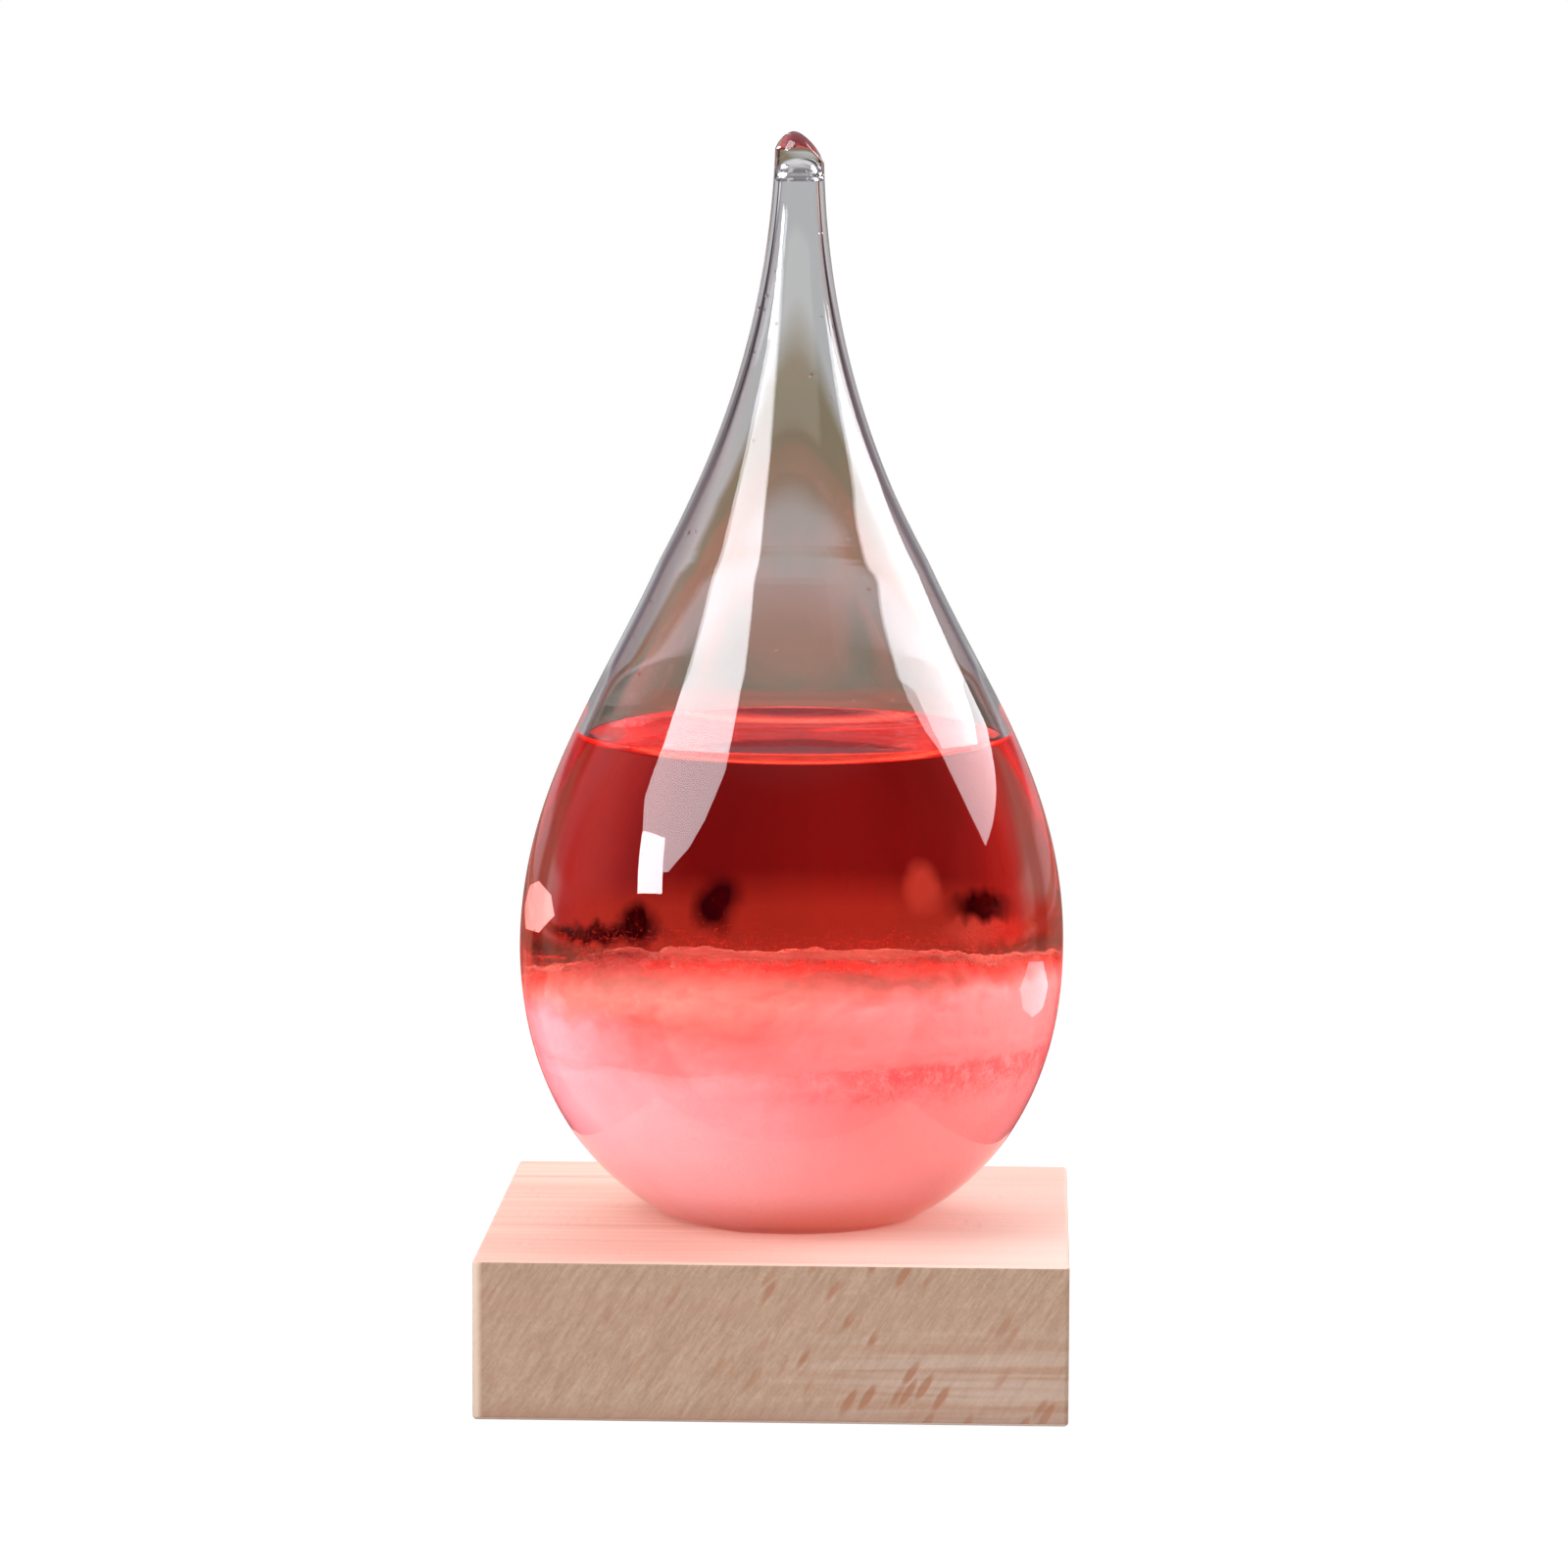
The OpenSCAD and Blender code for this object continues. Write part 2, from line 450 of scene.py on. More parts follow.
def build_drift(count):
    """Thousands of tiny crystals that hang over the cloud, thinning out upwards."""
    verts, faces = [], []
    corner = np.array([[1, 0, 0], [-0.4, 0.6, 0], [-0.6, -0.6, 0], [0, 0, 0.3]])
    sides = [(0, 1, 3), (1, 2, 3), (2, 0, 3), (1, 0, 2)]
    made = 0
    while made < count:
        outer = rng.random() < 0.6
        r = BULB_R * (rng.uniform(0.84, 1) if outer else math.sqrt(rng.random()))
        a = rng.random() * 2 * math.pi
        x, y = r * math.cos(a), r * math.sin(a)
        level = drift_level(x, y) - 0.3 * MM + rng.exponential(1.1 * MM)
        size = rng.uniform(0.07, 0.15) * MM
        if level + size > DRIFT_TOP - FOOT or r + size > inside_radius(level) - 0.15 * MM:
            continue
        turn = np.array(Euler(rng.uniform(0, 2 * math.pi, 3)).to_matrix())
        centre = np.array([AXIS_X + x, y, FOOT + level])
        shape = (corner * size * rng.uniform(0.7, 1.2, (4, 1))) @ turn.T + centre
        n = len(verts)
        verts.extend(shape.tolist())
        faces.extend((n + i, n + j, n + k) for i, j, k in sides)
        made += 1
    mesh = bpy.data.meshes.new("crystal_drift")
    mesh.from_pydata(verts, [], faces)
    mesh.shade_smooth()
    return piece_of(mesh)


# ---------------------------------------------------------------- wooden block


def build_block():
    """The beech block with eased edges and the turned seat."""
    size = BASE_HIGH - BASE_LOW
    centre = (BASE_HIGH + BASE_LOW) / 2
    bm = bmesh.new()
    bmesh.ops.create_cube(bm, size=1, matrix=Matrix.Translation(centre) @ Matrix.Diagonal((*size, 1)))
    bmesh.ops.bevel(bm, geom=bm.edges[:], offset=EDGE_EASE, segments=4, profile=0.5, affect="EDGES")
    block = mesh_piece("beech_block", bm)
    cutter = build_seat_cutter()
    cut = block.modifiers.new("seat", "BOOLEAN")
    cut.operation = "DIFFERENCE"
    cut.solver = "EXACT"
    cut.object = cutter
    depsgraph = bpy.context.evaluated_depsgraph_get()
    finished = bpy.data.meshes.new_from_object(block.evaluated_get(depsgraph))
    block.modifiers.clear()
    block.data = finished
    bpy.data.objects.remove(cutter)
    largest_bevel = 4 * MM**2
    for face in block.data.polygons:
        face.use_smooth = face.area < largest_bevel
    return block


def build_seat_cutter():
    """The room that the turned seat takes out of the block."""
    skin = Skin()
    top = BASE_HIGH[2]
    above = top + 0.2 * MM
    steps = [(SEAT_FLOOR_R, FOOT), (SEAT_RIM_R, top), (SEAT_RIM_R + 0.3 * MM, above)]
    rings = [skin.ring([(AXIS_X, 0, FOOT)])]
    for r, z in steps:
        rings.append(skin.ring([(AXIS_X + r * math.cos(a), r * math.sin(a), z) for a in turns(128)]))
    rings.append(skin.ring([(AXIS_X, 0, above)]))
    skin.stack(rings)
    return skin.build("seat_cutter")


# ---------------------------------------------------------------- materials


class Nodes:
    """A short way to write a node tree."""

    def __init__(self, tree):
        self.tree = tree
        tree.nodes.clear()

    def add(self, kind, inputs=None, **settings):
        n = self.tree.nodes.new(kind)
        for name, value in settings.items():
            setattr(n, name, value)
        for name, value in (inputs or {}).items():
            self.put(n.inputs[name], value)
        return n

    def put(self, socket, value):
        if isinstance(value, bpy.types.NodeSocket):
            self.tree.links.new(value, socket)
        else:
            socket.default_value = value

    def maths(self, operation, *values, clamp=False):
        n = self.add("ShaderNodeMath", operation=operation, use_clamp=clamp)
        for socket, value in zip(n.inputs, values):
            self.put(socket, value)
        return n.outputs[0]

    def times(self, product, *others):
        for other in others:
            product = self.maths("MULTIPLY", product, other)
        return product

    def vector(self, operation, *values):
        """Vector arithmetic, of which LENGTH gives a number."""
        n = self.add("ShaderNodeVectorMath", dict(enumerate(values)), operation=operation)
        return n.outputs["Value" if operation == "LENGTH" else "Vector"]

    def split(self, vector):
        return self.add("ShaderNodeSeparateXYZ", {0: vector}).outputs

    def place(self):
        """Where a point is, in metres."""
        return self.add("ShaderNodeTexCoord").outputs["Object"]

    def ramp(self, value, stops):
        n = self.add("ShaderNodeValToRGB", {"Fac": value})
        ramp = n.color_ramp
        while len(ramp.elements) < len(stops):
            ramp.elements.new(0.5)
        for element, (place, colour) in zip(ramp.elements, stops):
            element.position = place
            element.color = (*colour, 1)
        return n.outputs["Color"]

    def mix(self, factor, a, b, blend="MIX"):
        n = self.add("ShaderNodeMix", data_type="RGBA", blend_type=blend)
        self.put(n.inputs[0], factor)
        self.put(n.inputs[6], a)
        self.put(n.inputs[7], b)
        return n.outputs[2]

    def between(self, value, start, end, low=0.0, high=1.0):
        """From low at start to high at end."""
        limits = {"From Min": start, "From Max": end, "To Min": low, "To Max": high}
        return self.add("ShaderNodeMapRange", {"Value": value, **limits}).outputs[0]

    def noise(self, vector, scale, detail, roughness=0.55, distortion=0.0):
        settings = {"Scale": scale, "Detail": detail, "Roughness": roughness, "Distortion": distortion}
        n = self.add("ShaderNodeTexNoise", {"Vector": vector, **settings})
        return n.outputs["Fac"]

    def stirred(self, value, noise_value, reach):
        """A value moved up and down by up to half the reach."""
        return self.maths("ADD", value, self.maths("MULTIPLY_ADD", noise_value, reach, -reach / 2))

    def stretch(self, vector, scale, turn=(0, 0, 0), place=(0, 0, 0)):
        settings = {"Vector": vector, "Rotation": turn, "Scale": scale, "Location": place}
        return self.add("ShaderNodeMapping", settings).outputs[0]

    def bump(self, height, strength, distance):
        settings = {"Strength": strength, "Distance": distance, "Height": height}
        return self.add("ShaderNodeBump", settings).outputs[0]

    def lets_lamps_through(self, surface, tint=(0.97, 0.97, 0.97)):
        """Lamps shine straight through, so that what is behind is lit."""
        path = self.add("ShaderNodeLightPath").outputs["Is Shadow Ray"]
        clear = self.add("ShaderNodeBsdfTransparent", {"Color": (*tint, 1)}).outputs[0]
        return self.add("ShaderNodeMixShader", {0: path, 1: surface, 2: clear}).outputs[0]

    def finish(self, surface, volume=None):
        out = self.add("ShaderNodeOutputMaterial", {"Surface": surface})
        if volume is not None:
            self.put(out.inputs["Volume"], volume)


def material(name, colour):
    mat = bpy.data.materials.new(name)
    mat.use_nodes = True
    mat.diffuse_color = (*colour, 1)
    return mat, Nodes(mat.node_tree)


def clear_glass(name, ior, gain):
    """Blown glass, faintly wavy; lamps pass it with a gain, as a round drop gathers light like a lens."""
    mat, n = material(name, (0.9, 0.95, 0.95))
    wave = n.noise(n.place(), 60.0, 1.0)
    glass = n.add(
        "ShaderNodeBsdfPrincipled",
        {
            "Base Color": (0.985, 0.995, 0.99, 1),
            "Roughness": 0.0,
            "IOR": ior,
            "Transmission Weight": 1.0,
            "Normal": n.bump(wave, 0.05, 0.6 * MM),
        },
    )
    n.finish(n.lets_lamps_through(glass.outputs[0], (gain, gain, gain)))
    return mat


def red_liquid():
    """Its free surface refracts; where it wets the glass the glass's own wall does that."""
    mat, n = material("red_liquid", (0.6, 0.02, 0.03))
    surface = n.add(
        "ShaderNodeBsdfPrincipled",
        {"Base Color": (1, 1, 1, 1), "Roughness": 0.0, "IOR": LIQUID_IOR, "Transmission Weight": 1.0},
    )
    clear = n.add("ShaderNodeBsdfTransparent")
    free = n.add("ShaderNodeAttribute", attribute_name="free_surface").outputs["Fac"]
    mixed = n.add("ShaderNodeMixShader", {0: free, 1: clear.outputs[0], 2: surface.outputs[0]})
    dye = n.add("ShaderNodeVolumeAbsorption", {"Color": (0.87, 0.22, 0.1, 1), "Density": 40.0})
    n.finish(n.lets_lamps_through(mixed.outputs[0]), dye.outputs[0])
    return mat


def crystal_tone(n, place):
    """Pink where the crystals settle, coral above and deep red on top, where they are few; painted shade
    makes the loose crystals redder on the left, and painted light makes the bed paler at the far left.
    """
    x, _, z = n.split(place)
    level = n.stirred(z, n.noise(place, 150.0, 5.0, 0.65), 7 * MM)
    # Painted shade: on the left the loose crystals take the deeper red of higher crystals.
    left = n.between(x, -6 * MM, -27 * MM)
    loose = n.between(level, BED_TOP + 1 * MM, BED_TOP + 4 * MM)
    painted_left_shade = n.times(left, loose, 4 * MM)
    height = n.between(n.maths("ADD", level, painted_left_shade), BED_TOP - 18 * MM, BED_TOP + 11 * MM)
    tone = n.ramp(
        height,
        [
            (0.0, (0.97, 0.42, 0.42)),
            (0.22, (0.97, 0.34, 0.355)),
            (0.335, (0.97, 0.31, 0.325)),
            (0.445, (0.97, 0.25, 0.26)),
            (0.56, (0.96, 0.15, 0.145)),
            (0.67, (0.95, 0.09, 0.075)),
            (0.78, (0.90, 0.14, 0.11)),
            (0.845, (0.50, 0.14, 0.11)),
            (0.90, (0.34, 0.10, 0.075)),
            (0.975, (0.22, 0.05, 0.04)),
        ],
    )
    right = n.times(n.between(x, -2 * MM, 14 * MM), n.between(height, 0.84, 0.76))
    tone = n.mix(right, tone, (0.96, 0.29, 0.28, 1))
    # Painted light: the top of the bed is paler pink at the far left.
    painted_left_light = n.between(x, -14 * MM, -24 * MM)
    settled = n.between(level, BED_TOP + 3 * MM, BED_TOP + 0.5 * MM)
    return n.mix(n.times(painted_left_light, settled, 0.65), tone, (0.97, 0.40, 0.46, 1))


# Share of the lamps' light that crystals scatter onwards, to what is behind them
SCATTERED = (0.65, 0.33, 0.25)


def wet_salt(n, colour, roughness, bump):
    """Fine crystals that light passes some way into."""
    salt = n.add(
        "ShaderNodeBsdfPrincipled",
        {
            "Base Color": colour,
            "Roughness": roughness,
            "Specular IOR Level": 0.2,
            "Subsurface Weight": 0.7,
            "Subsurface Radius": (0.014, 0.004, 0.004),
            "Subsurface Scale": 1.0,
            "Normal": bump,
        },
    )
    return salt.outputs[0]


def packed_crystals():
    """Soft pink and grainy, with a mottled band high on the right, and painted red light that makes the
    foot redder, most on the right.
    """
    mat, n = material("packed_crystals", (1.0, 0.6, 0.62))
    place = n.place()
    x, _, z = n.split(place)
    grain = n.noise(place, 1500.0, 3.0, 0.7)
    colour = n.mix(n.times(grain, 0.08), crystal_tone(n, place), (1, 0.5, 0.5, 1))
    level = n.stirred(z, n.noise(place, 260.0, 5.0, 0.8), 8 * MM)
    high = n.between(level, BED_TOP - 7.5 * MM, BED_TOP - 4 * MM)
    under_rim = n.between(z, BED_TOP - 2 * MM, BED_TOP - 3 * MM)
    right = n.between(x, -4 * MM, 8 * MM)
    speckle = n.between(n.noise(place, 650.0, 6.0, 0.9), 0.42, 0.53)
    colour = n.mix(n.times(high, under_rim, right, speckle, 0.85), colour, (0.78, 0.11, 0.11, 1))
    # Painted red light: the foot of the bed turns orange-red, most of all on the right.
    low = n.between(z, FOOT + 6 * MM, FOOT + 2 * MM)
    low = n.times(low, n.between(x, -10 * MM, 6 * MM, 0.4, 1))
    colour = n.mix(low, colour, (1.0, 0.22, 0.14, 1))
    salt = wet_salt(n, colour, 0.6, n.bump(grain, 0.5, 0.2 * MM))
    n.finish(n.lets_lamps_through(salt, SCATTERED))
    return mat


def cloud_of_crystals():
    """The thick part of the loose crystals, with painted light that makes the flat tops paler and painted
    shade in dark rings behind the middle.
    """
    mat, n = material("cloud_of_crystals", (0.9, 0.35, 0.33))
    place = n.place()
    _, depth, _ = n.split(place)
    normal = n.add("ShaderNodeNewGeometry").outputs["Normal"]
    flat = n.between(n.split(normal)["Z"], 0.6, 0.92)
    # Painted light: flat tops from the middle back are paler.
    inward = n.between(depth, -8 * MM, -3 * MM)
    tone = n.mix(n.times(flat, inward), crystal_tone(n, place), (0.86, 0.27, 0.21, 1))
    # Painted shade: dark rings on the flat top behind the middle.
    away = n.vector("LENGTH", n.vector("MULTIPLY", place, (1, 1, 0)))
    shaded, unshaded = (1, 1, 1), (0, 0, 0)
    painted_shade_rings = n.ramp(
        n.between(away, 0, 25 * MM),
        [(0.38, unshaded), (0.43, shaded), (0.58, shaded), (0.63, unshaded), (0.71, unshaded), (0.76, shaded)],
    )
    behind = n.between(depth, 2 * MM, 6 * MM)
    tone = n.mix(n.times(painted_shade_rings, behind, flat), tone, (0.2, 0.025, 0.025, 1))
    grain = n.noise(place, 900.0, 3.0, 0.7)
    salt = wet_salt(n, tone, 0.7, n.bump(grain, 0.4, 0.2 * MM))
    thin = n.add("ShaderNodeAttribute", attribute_name="thinness").outputs["Fac"]
    ragged = n.stirred(0.8, n.noise(place, 350.0, 4.0, 0.7), 1.2)
    thin = n.maths("MULTIPLY", thin, ragged, clamp=True)
    clear = n.add("ShaderNodeBsdfTransparent").outputs[0]
    fading = n.add("ShaderNodeMixShader", {0: thin, 1: salt, 2: clear}).outputs[0]
    n.finish(n.lets_lamps_through(fading, SCATTERED))
    return mat


def hanging_crystals():
    """Single crystals, mostly clear."""
    mat, n = material("hanging_crystals", (0.8, 0.25, 0.2))
    crystal = n.add(
        "ShaderNodeBsdfPrincipled",
        {"Base Color": crystal_tone(n, n.place()), "Roughness": 0.8, "Specular IOR Level": 0.0},
    )
    clear = n.add("ShaderNodeBsdfTransparent")
    shares = {0: 0.28, 1: clear.outputs[0], 2: crystal.outputs[0]}
    n.finish(n.add("ShaderNodeMixShader", shares).outputs[0])
    return mat


def beech_sides(n, place):
    """Fine slanting figure with ray flecks and, low on the right, layers; a painted highlight along the
    left edge; with its relief.
    """
    x, _, z = n.split(place)
    side = n.stretch(place, (1, 1, 1), turn=(0, math.radians(57), 0))
    streaks = n.noise(n.stretch(side, (350, 900, 2200)), 1.0, 3.0, 0.65)
    fibres = n.noise(n.stretch(side, (900, 2500, 6000)), 1.0, 2.0, 0.6)
    grain = n.noise(place, 2600.0, 2.0, 0.7)
    bands = n.noise(n.stretch(place, (12, 12, 420), turn=(0.03, 0.02, 0)), 1.0, 3.0, 0.6, 0.3)
    tone = n.ramp(streaks, [(0.3, (0.255, 0.155, 0.095)), (0.7, (0.39, 0.268, 0.182))])
    tone = n.mix(n.times(fibres, 0.3), tone, (0.38, 0.27, 0.195, 1))
    grainy = n.ramp(grain, [(0.4, (0, 0, 0)), (0.65, (0.3, 0.3, 0.3))])
    tone = n.mix(grainy, tone, (0.22, 0.125, 0.075, 1))
    banded = n.ramp(bands, [(0.45, (0, 0, 0)), (0.7, (0.35, 0.35, 0.35))])
    tone = n.mix(banded, tone, (0.32, 0.184, 0.118, 1))

    low_right = n.times(n.between(x, -4 * MM, 14 * MM), n.between(z, 12 * MM, 6 * MM))
    layers = n.noise(n.stretch(place, (25, 25, 750), turn=(0.01, 0, 0)), 1.0, 2.0, 0.5, 0.4)
    layered = n.ramp(layers, [(0.42, (0.29, 0.155, 0.098)), (0.56, (0.41, 0.31, 0.255))])
    tone = n.mix(n.times(low_right, 0.45), tone, layered)

    fleck_place = n.stretch(side, (170, 120, 640), place=(0, 0, 0.3))
    fleck = n.add("ShaderNodeTexVoronoi", {"Vector": fleck_place, "Scale": 1.0, "Randomness": 1.0})
    some = n.between(n.noise(n.stretch(place, (80, 80, 110)), 1.0, 1.0), 0.48, 0.6)
    flecks = n.times(n.between(fleck.outputs["Distance"], 0.34, 0.2), some)
    tone = n.mix(n.times(flecks, 0.75), tone, (0.26, 0.10, 0.045, 1))
    lowest = n.between(z, 2.2 * MM, 0.6 * MM, 0, 0.5)
    tone = n.mix(lowest, tone, (0.25, 0.13, 0.085, 1))
    # Painted highlight: a pale strip along the left edge.
    painted_edge_highlight = n.between(x, -30.7 * MM, -31.2 * MM, 0, 0.7)
    tone = n.mix(painted_edge_highlight, tone, (0.6, 0.47, 0.37, 1))
    relief = n.maths("ADD", n.times(streaks, 0.7), n.times(flecks, -0.6))
    return tone, relief


def beech_top(n, place):
    """Soft straight grain, with painted light that makes it paler to the right."""
    x, _, _ = n.split(place)
    along = n.noise(n.stretch(place, (14, 420, 420), turn=(0, 0, 0.02)), 1.0, 4.0, 0.6, 0.2)
    fine = n.noise(n.stretch(place, (60, 2600, 2600), turn=(0, 0, 0.01)), 1.0, 3.0, 0.6)
    tone = n.ramp(along, [(0.3, (0.45, 0.275, 0.215)), (0.7, (0.60, 0.42, 0.34))])
    tone = n.mix(n.times(fine, 0.35), tone, (0.59, 0.425, 0.345, 1))
    # Painted light: the top is paler to the right.
    return n.mix(n.between(x, -10 * MM, 20 * MM, 0, 0.6), tone, (0.62, 0.50, 0.43, 1))


def beech():
    """Steamed beech."""
    mat, n = material("beech", (0.74, 0.55, 0.4))
    place = n.place()
    sides, relief = beech_sides(n, place)
    normal = n.add("ShaderNodeNewGeometry").outputs["True Normal"]
    is_level = n.maths("GREATER_THAN", n.maths("ABSOLUTE", n.split(normal)["Z"]), 0.5)
    colour = n.mix(is_level, sides, beech_top(n, place))
    wood = n.add(
        "ShaderNodeBsdfPrincipled",
        {"Base Color": colour, "Roughness": 0.55, "Normal": n.bump(relief, 0.6, 0.1 * MM)},
    )
    n.finish(wood.outputs[0])
    return mat


# ---------------------------------------------------------------- the object

block = build_block()
block.data.materials.clear()
block.data.materials.append(beech())
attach(block, "base")
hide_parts("wood_base")

glass = build_glass()
glass.data.materials.append(clear_glass("dry_glass", GLASS_IOR, 0.97))
glass.data.materials.append(clear_glass("wet_glass", GLASS_IOR / LIQUID_IOR, 1.35))
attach(glass, "vessel")
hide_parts("glass_vessel")

solution = build_solution()
solution.data.materials.append(red_liquid())
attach(solution, "vessel")
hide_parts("solution")

dew = build_dew(34)
dew.data.materials.append(clear_glass("dew_drops", LIQUID_IOR, 0.97))
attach(dew, "vessel")
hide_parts("glass_vessel")

bed = build_bed()
bed.data.materials.append(packed_crystals())
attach(bed, "vessel")
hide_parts("settled_crystals")

cloud = build_cloud()
cloud.data.materials.append(cloud_of_crystals())
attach(cloud, "vessel")
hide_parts("loose_crystals")

drift = build_drift(30000)
drift.data.materials.append(hanging_crystals())
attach(drift, "vessel")
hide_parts("loose_crystals")


# ---------------------------------------------------------------- floor, light and camera

LAMP_DISTANCE = 1.6
LAMP_AIM = Vector((0, 0, 0.07))  # about the middle of the object


def toward(azimuth, elevation):
    """Unit vector from the drop; azimuth 0 is the front and + is to the right, in degrees."""
    a, e = math.radians(azimuth), math.radians(elevation)
    return Vector((math.sin(a) * math.cos(e), -math.cos(a) * math.cos(e), math.sin(e)))


def build_floor():
    """A wide pale disc that fades into the backdrop."""
    bm = bmesh.new()
    bmesh.ops.create_circle(bm, cap_ends=True, segments=96, radius=1.6)
    floor = mesh_piece("floor", bm)
    mat, n = material("pale_floor", (0.9, 0.9, 0.9))
    matt = n.add("ShaderNodeBsdfDiffuse", {"Color": (0.86, 0.86, 0.86, 1)})
    glow = n.add("ShaderNodeEmission", {"Color": (1, 1, 1, 1), "Strength": 1.0})
    fade = n.between(n.vector("LENGTH", n.place()), 0.05, 0.3, 0.75, 1)
    both = n.add("ShaderNodeMixShader", {0: fade, 1: matt.outputs[0], 2: glow.outputs[0]})
    n.finish(both.outputs[0])
    floor.data.materials.append(mat)
    floor.visible_diffuse = False
    floor.visible_transmission = False
    floor.visible_glossy = False
    floor.visible_shadow = False


def walls_and_table(n, side, up):
    """A red-brown table, a wall in bands of grey and brown, and a ceiling that is palest overhead."""
    table = n.ramp(
        n.maths("MULTIPLY_ADD", side, 0.5, 0.5),
        [
            (0.16, (0.42, 0.38, 0.37)),
            (0.215, (0.48, 0.14, 0.13)),
            (0.26, (0.35, 0.055, 0.06)),
            (0.33, (0.235, 0.025, 0.03)),
            (0.58, (0.22, 0.021, 0.028)),
            (0.68, (0.39, 0.085, 0.105)),
            (0.78, (0.58, 0.23, 0.24)),
            (0.84, (0.42, 0.38, 0.37)),
        ],
    )
    near = n.between(up, -0.22, 0.1)
    wall = n.ramp(
        near,
        [
            (0.0, (0.50, 0.10, 0.075)),
            (0.25, (0.52, 0.12, 0.09)),
            (0.33, (0.17, 0.18, 0.14)),
            (0.42, (0.19, 0.19, 0.15)),
            (0.45, (0.36, 0.35, 0.34)),
            (0.47, (0.36, 0.34, 0.32)),
            (0.485, (0.25, 0.20, 0.145)),
            (0.55, (0.25, 0.21, 0.14)),
            (0.585, (0.50, 0.50, 0.51)),
            (0.84, (0.56, 0.56, 0.60)),
            (0.95, (0.20, 0.16, 0.18)),
        ],
    )
    room = n.mix(n.between(up, -0.19, -0.235), wall, table)
    high = n.ramp(up, [(0.1, (0.16, 0.12, 0.14)), (0.4, (0.25, 0.24, 0.26)), (0.8, (0.7, 0.7, 0.72))])
    return n.mix(n.maths("GREATER_THAN", up, 0.1), room, high)


def things_in_room(n, room, way):
    """Soft-edged dark and coral things at the back, a little below the horizon."""
    swirl = n.add("ShaderNodeTexNoise", {"Vector": way, "Scale": 16.0, "Detail": 2.0}).outputs["Color"]
    swirl = n.vector("SUBTRACT", swirl, (0.5, 0.5, 0.5))
    curled = n.vector("ADD", way, n.vector("MULTIPLY", swirl, (0.05, 0.05, 0.05)))
    night = (0.006, 0, 0.006, 1)
    # Azimuth, elevation, half width and half height in degrees, and colour
    things = [
        (211.5, -8.9, 8, 1.2, (0.85, 0.26, 0.21, 1)),
        (163.5, -9.6, 2.8, 1.7, night),
        (154, -8.7, 10, 0.7, night),
        (174, -11.3, 2.4, 1.6, (0.02, 0, 0.012, 1)),
        (208.3, -11.1, 5, 1.0, night),
        (197.6, -12.4, 1.9, 1.7, (0.7, 0.2, 0.15, 1)),
    ]
    for azimuth, elevation, wide, tall, colour in things:
        off = n.vector("SUBTRACT", curled, toward(azimuth, elevation))
        off = n.vector("DIVIDE", off, (math.radians(wide), 1.0, math.radians(tall)))
        room = n.mix(n.between(n.vector("LENGTH", off), 1.5, 0.6), room, colour)
    return room


def light_in_room(n, room, side, back, up):
    """Dim towards the front, warm to the right, banded at the sides, and sunlit low in front."""
    fade = n.ramp(
        n.maths("MULTIPLY_ADD", back, 0.5, 0.5),
        [(0.3, (0.05, 0.05, 0.05)), (0.5, (0.12, 0.12, 0.12)), (0.62, (0.5, 0.5, 0.5)), (0.72, (1, 1, 1))],
    )
    room = n.mix(1.0, room, n.mix(n.between(up, 0.6, 0.85), fade, (1, 1, 1, 1)), "MULTIPLY")
    warm = n.ramp(side, [(0.5, (1, 1, 1)), (0.75, (1, 0.6, 0.52))])
    room = n.mix(1.0, room, warm, "MULTIPLY")
    stripes = n.ramp(
        n.maths("ABSOLUTE", side),
        [
            (0.60, (1, 1, 1)),
            (0.66, (0.12, 0.12, 0.12)),
            (0.76, (0.12, 0.12, 0.12)),
            (0.80, (1.5, 1.5, 1.5)),
            (0.87, (1.5, 1.5, 1.5)),
            (0.91, (0.6, 0.5, 0.5)),
        ],
    )
    red_sides = n.ramp(
        n.maths("ABSOLUTE", side),
        [(0.4, (1, 1, 1)), (0.55, (1, 0.4, 0.4)), (0.62, (1, 0.4, 0.4)), (0.67, (1, 1, 1))],
    )
    level = n.between(up, -0.15, -0.1)
    room = n.mix(1.0, room, n.mix(level, red_sides, stripes), "MULTIPLY")
    below = n.between(up, -0.22, -0.26)
    above = n.between(up, -0.7, -0.66)
    front = n.between(back, -0.5, -0.55)
    return n.mix(n.times(below, above, front), room, (1.1, 1.0, 0.95, 1))


def build_world():
    """White to the camera; a quiet made-up room in glass; a grey fill light."""
    world = bpy.data.worlds.new("studio")
    bpy.context.scene.world = world
    world.use_nodes = True
    n = Nodes(world.node_tree)
    way = n.add("ShaderNodeTexCoord").outputs["Generated"]
    side, back, up = n.split(way)
    room = walls_and_table(n, side, up)
    room = things_in_room(n, room, way)
    room = light_in_room(n, room, side, back, up)
    path = n.add("ShaderNodeLightPath").outputs
    in_glass = n.maths("MAXIMUM", path["Is Glossy Ray"], path["Is Transmission Ray"])
    seen = n.mix(in_glass, (0.25, 0.24, 0.24, 1), room)
    seen = n.mix(path["Is Camera Ray"], seen, (1, 1, 1, 1))
    light = n.add("ShaderNodeBackground", {"Color": seen, "Strength": 1.0})
    n.add("ShaderNodeOutputWorld", {"Surface": light.outputs[0]})


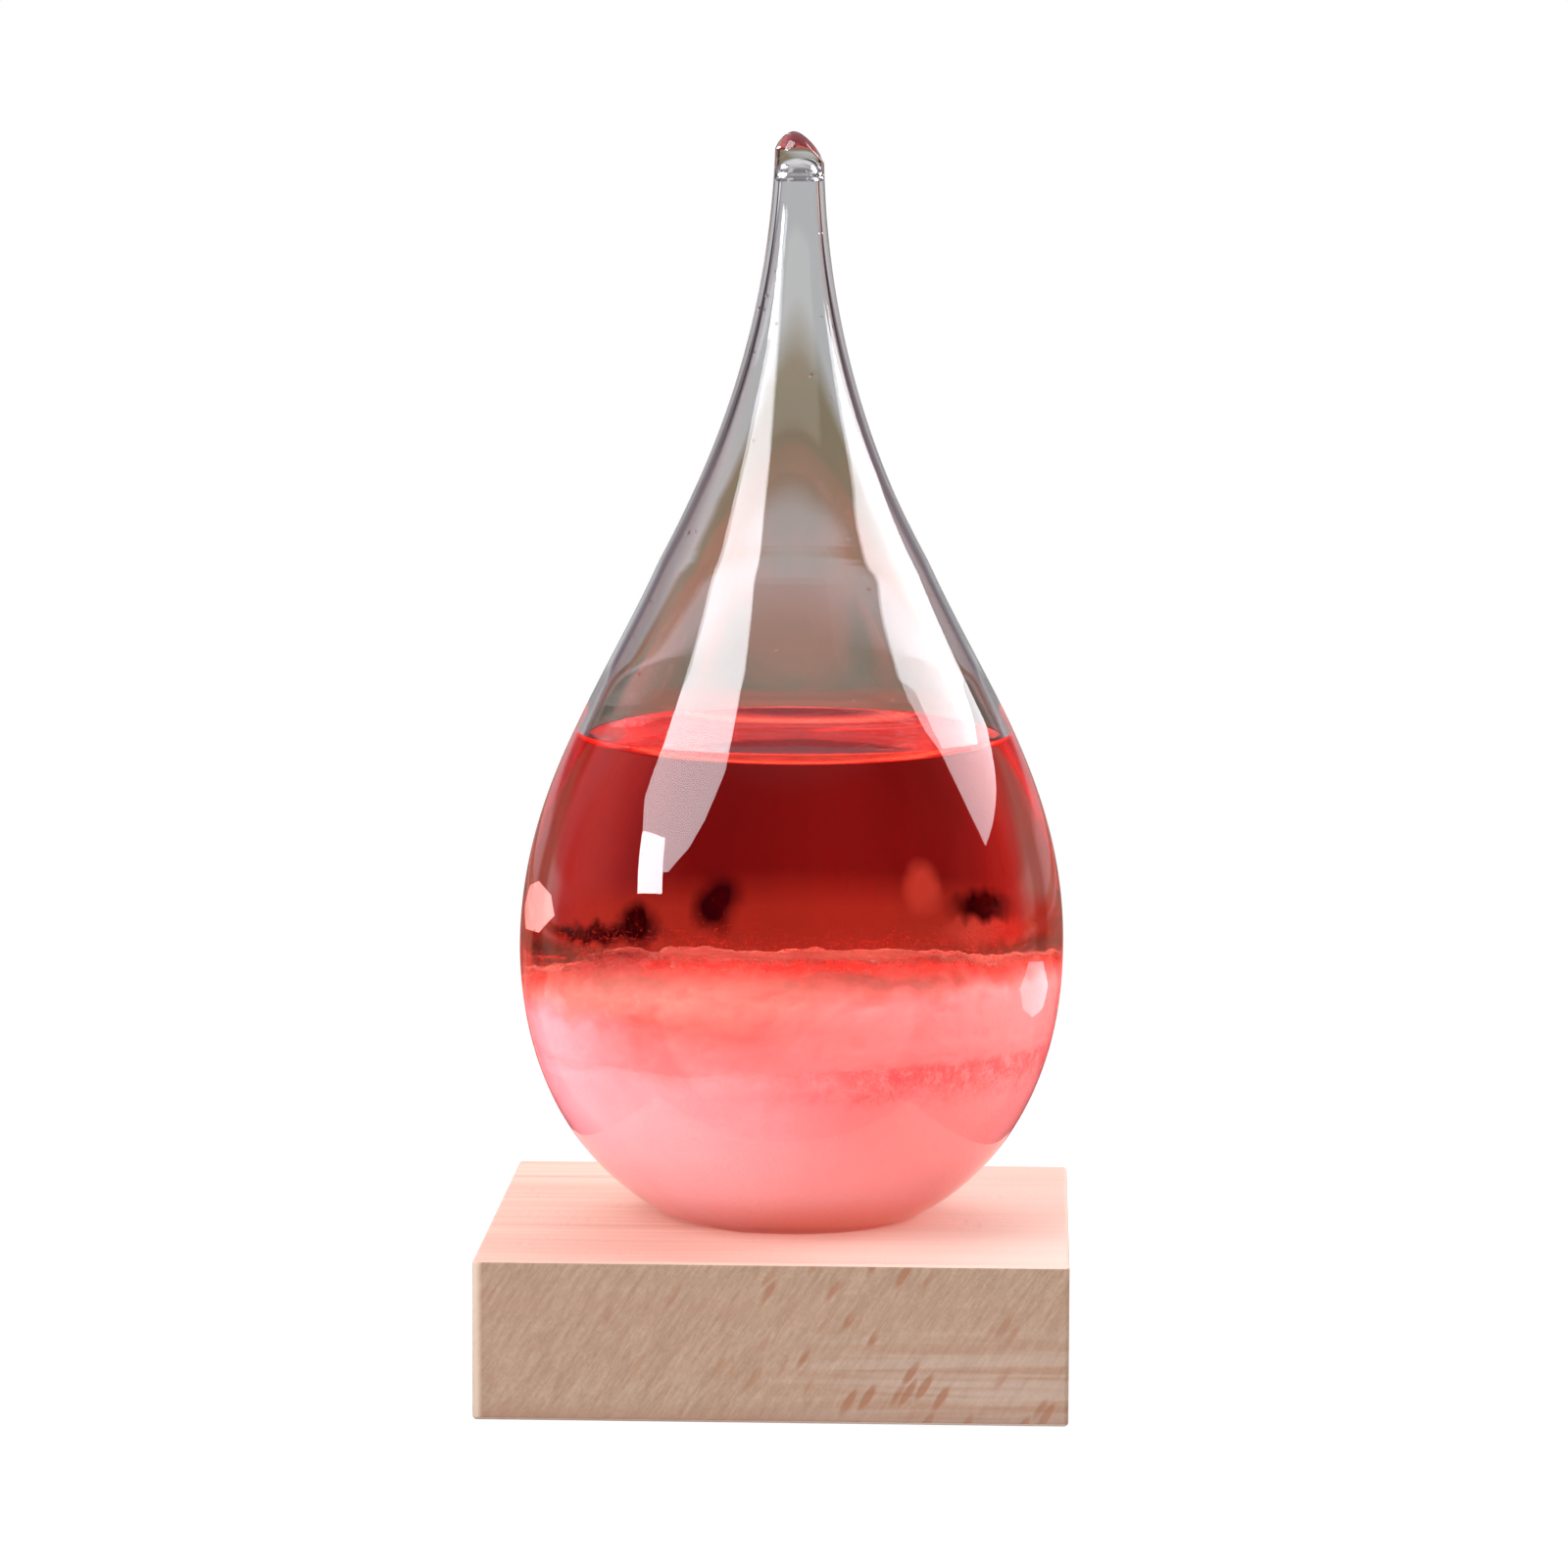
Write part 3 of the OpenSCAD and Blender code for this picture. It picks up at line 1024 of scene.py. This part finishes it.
def window(name, centre, corners, radiance, colour=(0.965, 0.955, 1)):
    """A glowing pane, drawn by the azimuth and elevation of its corners."""
    middle = toward(*centre)
    bm = bmesh.new()
    for corner in corners:
        way = toward(*corner)
        bm.verts.new(LAMP_AIM + way * LAMP_DISTANCE / way.dot(middle))
    bm.faces.new(bm.verts)
    pane = mesh_piece(name, bm)
    mat, n = material(name, colour)
    glow = n.add("ShaderNodeEmission", {"Color": (*colour, 1), "Strength": radiance})
    n.finish(glow.outputs[0])
    pane.data.materials.append(mat)
    pane.visible_camera = False


def light_from(name, kind, place, way):
    """A light that shines against way and is not mirrored in the glass."""
    light = bpy.data.lights.new(name, kind)
    ob = bpy.data.objects.new(name, light)
    ob.location = place
    ob.rotation_euler = way.to_track_quat("Z", "Y").to_euler()
    ob.visible_camera = False
    ob.visible_glossy = False
    ob.visible_transmission = False
    bpy.context.scene.collection.objects.link(ob)
    return light


def lamp(name, azimuth, elevation, wide, high, radiance):
    """A rectangular lamp, sized by the angles that it fills."""
    way = toward(azimuth, elevation)
    light = light_from(name, "AREA", LAMP_AIM + way * LAMP_DISTANCE, way)
    light.shape = "RECTANGLE"
    light.size = 2 * LAMP_DISTANCE * math.tan(math.radians(wide) / 2)
    light.size_y = 2 * LAMP_DISTANCE * math.tan(math.radians(high) / 2)
    light.energy = radiance * math.pi * light.size * light.size_y
    light.color = (1, 0.98, 1)


def build_beam():
    """Sunlight that comes in from behind and lands on the top of the loose crystals."""
    target = Vector((0, 3 * MM, BED_TOP + 5 * MM))
    way = toward(182, 40)
    light = light_from("sunbeam", "SPOT", target + way * 1.2, way)
    light.spot_size = math.radians(1.2)
    light.spot_blend = 0.7
    light.shadow_soft_size = 0.01
    light.energy = 60


def build_windows():
    """Two tall windows with a lamp below the left one, and a low patch of light at the back."""
    left = [(-78, 26), (-70, 18), (-62, 15), (-55, 15.5), (-47, 22), (-42, 28.5)]
    left += [(-37, 38), (-36, 60), (-82, 60)]
    right = [(99, 13), (134, 16), (134, 48), (80, 48), (82, 38), (91, 29), (95, 20)]
    low = [(115, -11.8), (120, -14.9), (130, -15.4), (140, -13.4), (143, -11), (135, -8.9), (121, -8.7)]
    lamp_corners = [(-68, 9), (-56, 10.5), (-60, 22), (-73, 21)]
    window("left_window", (-58, 41), left, 9.5)
    window("left_lamp", (-64, 15), lamp_corners, 26.0)
    window("right_window", (107, 32), right, 7.0)
    window("low_window", (128, -12), low, 2.4, (1, 0.9, 1))


def build_camera():
    target = Vector((0, 0, 0.065))
    away = toward(2.18, 6.23)
    roll = math.radians(0.27)
    distance = 0.7058
    data = bpy.data.cameras.new("camera")
    data.sensor_width = 36
    data.lens = 147.0
    data.clip_end = 20
    camera = bpy.data.objects.new("camera", data)
    camera.location = target + away * distance
    turn = away.to_track_quat("Z", "Y").to_matrix() @ Matrix.Rotation(roll, 3, "Z")
    camera.rotation_euler = turn.to_euler()
    bpy.context.scene.collection.objects.link(camera)
    bpy.context.scene.camera = camera


build_floor()
build_world()
build_windows()
lamp("fill_lamp", 40, 20, 42, 42, 2.8)
lamp("low_lamp", 15, -14, 60, 24, 3.5)
lamp("back_lamp", 185, 45, 45, 35, 7.0)
build_beam()
build_camera()

scene = bpy.context.scene
scene.view_settings.view_transform = "Standard"
scene.cycles.max_bounces = 32
scene.cycles.transmission_bounces = 24
scene.cycles.transparent_max_bounces = 24
scene.cycles.glossy_bounces = 12
scene.cycles.sample_clamp_indirect = 8.0
